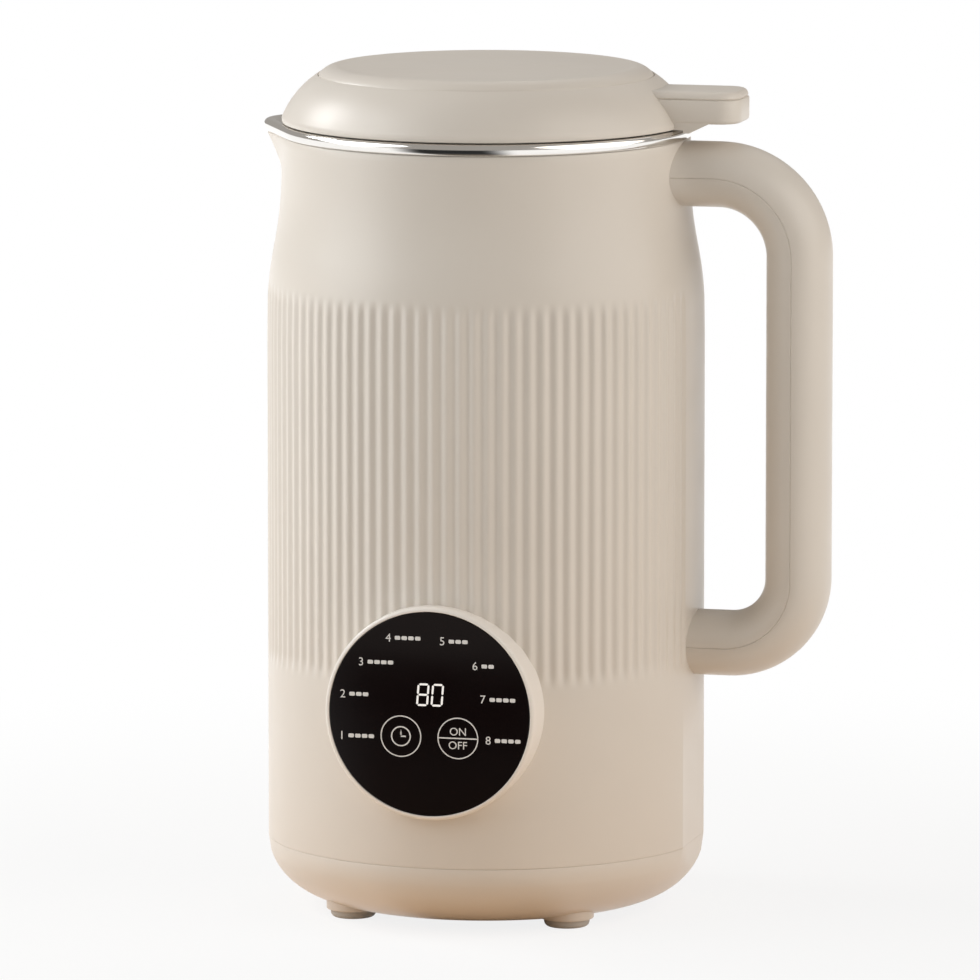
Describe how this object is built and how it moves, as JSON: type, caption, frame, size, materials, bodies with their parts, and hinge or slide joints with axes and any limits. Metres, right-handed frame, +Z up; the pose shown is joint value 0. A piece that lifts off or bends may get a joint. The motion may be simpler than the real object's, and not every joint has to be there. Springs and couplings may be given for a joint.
{
  "type": "nut milk maker",
  "caption": "Countertop nut milk maker: ribbed jug-shaped body with steel cup and blades, side handle, lift-off lid with thumb tab, round touch panel and rear power inlet.",
  "frame": {"origin": "middle of the footprint's box, on the surface the feet stand on", "axes": "+Z up along the jug's axis; +X from the spout to the handle; the touch panel faces -Y and the power inlet +Y; the jug's axis stands at x -17.9 mm, y +2.3 mm"},
  "size_m": [0.1658, 0.1296, 0.2423],
  "materials": {
    "cream_plastic": "warm white moulded plastic, satin",
    "steel": "deep-drawn stainless steel, polished",
    "black_glass": "black printed glass, gloss",
    "foot_rubber": "off-white rubber, matt",
    "bright_steel": "turned or stamped steel",
    "inner_plastic": "food-grade plastic, satin",
    "seal_rubber": "silicone, matt",
    "board_green": "glass-fibre board with solder mask",
    "black_plastic": "black moulded plastic",
    "copper": null,
    "core_steel": "laminated steel",
    "cast_aluminium": "die-cast aluminium",
    "carbon": "carbon block",
    "brass": "plated brass"
  },
  "bodies": {
    "body": {"outer_shell": "cream_plastic", "inner_cup": "steel", "base_cover": "cream_plastic", "base_screws": "bright_steel", "foot_front_left": "foot_rubber", "foot_front_right": "foot_rubber", "foot_rear_left": "foot_rubber", "foot_rear_right": "foot_rubber", "handle_outer_half": "cream_plastic", "handle_inner_half": "cream_plastic", "handle_screws": "bright_steel", "reed_sensor": "black_plastic", "panel_bezel": "cream_plastic", "panel_glass": "black_glass", "control_board": "board_green", "readout_module": "black_plastic", "touch_springs": "bright_steel", "power_board": "board_green", "board_relay": "black_plastic", "board_transformer": "black_plastic", "board_capacitor": "black_plastic", "inlet_housing": "black_plastic", "inlet_pins": "brass", "heating_plate": "cast_aluminium", "heating_element": "bright_steel", "thermal_cutout": "black_plastic", "temperature_sensor": "bright_steel", "overflow_probe": "bright_steel", "seal_housing": "inner_plastic", "shaft_seal": "seal_rubber", "seal_nut": "bright_steel", "standoffs": "bright_steel", "upper_bracket": "cast_aluminium", "lower_bracket": "cast_aluminium", "stator_core": "core_steel", "stator_windings": "copper", "upper_bearing": "bright_steel", "lower_bearing": "bright_steel", "brush_holders": "black_plastic", "carbon_brushes": "carbon", "motor_screws": "bright_steel"},
    "rotor": {"motor_shaft": "bright_steel", "armature_core": "core_steel", "armature_windings": "copper", "commutator": "copper", "cooling_fan": "black_plastic", "blade_spacer": "bright_steel", "lower_blade": "bright_steel", "blade_washer": "bright_steel", "upper_blade": "bright_steel", "blade_nut": "bright_steel"},
    "lid": {"lid_shell": "cream_plastic", "lid_top_cap": "cream_plastic", "lid_inner_plate": "inner_plastic", "lid_seal": "seal_rubber", "lid_tab_base": "cream_plastic", "lid_magnet": "core_steel", "lid_screws": "bright_steel"}
  },
  "joints": [
    {"name": "rotor_spin", "type": "hinge", "parent": "body", "child": "rotor", "pos_m": [-0.01792, 0.00225, 0.105], "axis": [0, 0, 1], "continuous": true},
    {"name": "lid_lift", "type": "slide", "parent": "body", "child": "lid", "axis": [0, 0, 1], "range_m": [0, 0.06]}
  ]
}
